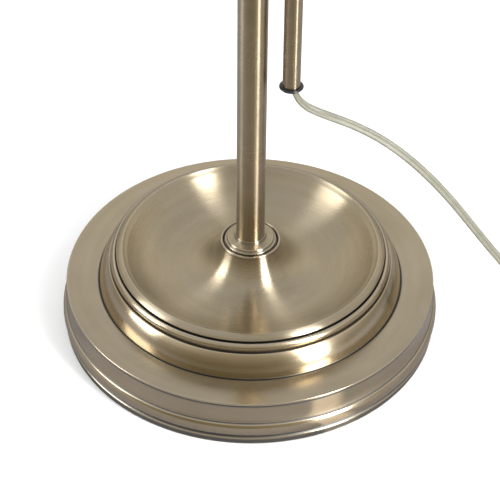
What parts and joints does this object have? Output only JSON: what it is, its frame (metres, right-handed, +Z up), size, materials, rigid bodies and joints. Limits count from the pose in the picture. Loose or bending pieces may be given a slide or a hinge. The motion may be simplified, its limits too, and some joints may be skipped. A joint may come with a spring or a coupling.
{
  "type": "pharmacy floor lamp",
  "caption": "Height-adjustable reading floor lamp: stepped, dished round base, fixed pole, sliding and swinging slim tube with arm, and a tilting dome shade.",
  "frame": {"origin": "on the floor under the centre of the pole, at the middle of the felt pad", "axes": "+Z up along the pole; +X from the pole towards the slim tube, the arm and the shade; the clamp knob faces -Y"},
  "size_m": [0.4465, 0.2576, 1.0205],
  "materials": {
    "antique_brass": "antique brass, finely brushed round each turned piece, satin lacquer",
    "zinc_steel": "zinc plated",
    "cast_iron": "rough black casting",
    "felt": "pressed wool felt",
    "nylon": "natural nylon",
    "black_rubber": "smooth black rubber",
    "black_phenolic": "moulded phenolic",
    "fibre": "pressed fibre",
    "contact_brass": "plain stamped brass",
    "clear_cord": "clear vinyl over stranded wire, flat twin cord",
    "plug_vinyl": "moulded vinyl",
    "opal_glass": "opal white bulb"
  },
  "bodies": {
    "root": {"base_shell": "antique_brass", "base_dish": "antique_brass", "base_weight": "cast_iron", "bottom_plate": "zinc_steel", "felt_pad": "felt", "neck_ring": "antique_brass", "threaded_pipe": "zinc_steel", "base_nut": "zinc_steel", "lock_washer": "zinc_steel", "fender_washer": "zinc_steel", "pole_lower": "antique_brass", "pole_foot_insert": "zinc_steel", "pole_joint_ring": "antique_brass", "pole_coupler": "zinc_steel", "pole_upper": "antique_brass", "pole_cap": "antique_brass", "clamp_block": "antique_brass", "clamp_bushing": "nylon", "clamp_grub_screw": "zinc_steel", "cord_free": "clear_cord", "cord_tail": "clear_cord", "cord_coil": "clear_cord", "cord_tie": "black_rubber", "plug_body": "plug_vinyl", "plug_blade_narrow": "contact_brass", "plug_blade_wide": "contact_brass"},
    "clamp_pad": {"pressure_pad": "nylon"},
    "thumb_screw": {"clamp_screw": "zinc_steel", "clamp_knob": "antique_brass"},
    "lift": {"cord_in_upright": "clear_cord"},
    "arm": {"arm_upright": "antique_brass", "cord_grommet": "black_rubber", "stop_collar": "antique_brass", "collar_set_screw": "zinc_steel", "arm_elbow": "antique_brass", "arm_bar": "antique_brass", "swivel_arm_half": "antique_brass", "cord_in_bar": "clear_cord", "friction_washer": "fibre", "swivel_screw": "antique_brass", "spring_washer": "zinc_steel", "swivel_nut": "antique_brass"},
    "head": {"swivel_head_half": "antique_brass", "neck_nipple": "zinc_steel", "nipple_nut": "zinc_steel", "socket_cup": "antique_brass", "lampholder_body": "black_phenolic", "screw_shell": "contact_brass", "centre_contact": "contact_brass", "lampholder_lead": "clear_cord", "shade": "antique_brass", "shade_ring": "black_phenolic", "bulb_base": "zinc_steel", "bulb_glass": "opal_glass"},
    "switch": {"switch_stem": "zinc_steel", "switch_knob": "black_phenolic"}
  },
  "joints": [
    {"name": "clamp_pad_travel", "type": "slide", "parent": "root", "child": "clamp_pad", "axis": [0, -1, 0], "range_m": [0, 0.0015]},
    {"name": "clamp_knob_turn", "type": "hinge", "parent": "clamp_pad", "child": "thumb_screw", "pos_m": [0.0247, 0, 0.92], "axis": [0, -1, 0], "range_deg": [0, 540]},
    {"name": "arm_lift", "type": "slide", "parent": "root", "child": "lift", "axis": [0, 0, 1], "range_m": [0, 0.3]},
    {"name": "arm_swing", "type": "hinge", "parent": "lift", "child": "arm", "pos_m": [0.0247, 0, 0.5], "axis": [0, 0, 1], "range_deg": [-170, 170]},
    {"name": "shade_tilt", "type": "hinge", "parent": "arm", "child": "head", "pos_m": [0.2347, 0, 1.01], "axis": [0, -1, 0], "range_deg": [-35, 60]},
    {"name": "switch_turn", "type": "hinge", "parent": "head", "child": "switch", "pos_m": [0.2347, 0, 0.958], "axis": [1, 0, 0], "continuous": true}
  ],
  "couplings": [
    {"joint": "clamp_knob_turn", "follows": "clamp_pad_travel", "rad_per_m": 6283.2}
  ]
}
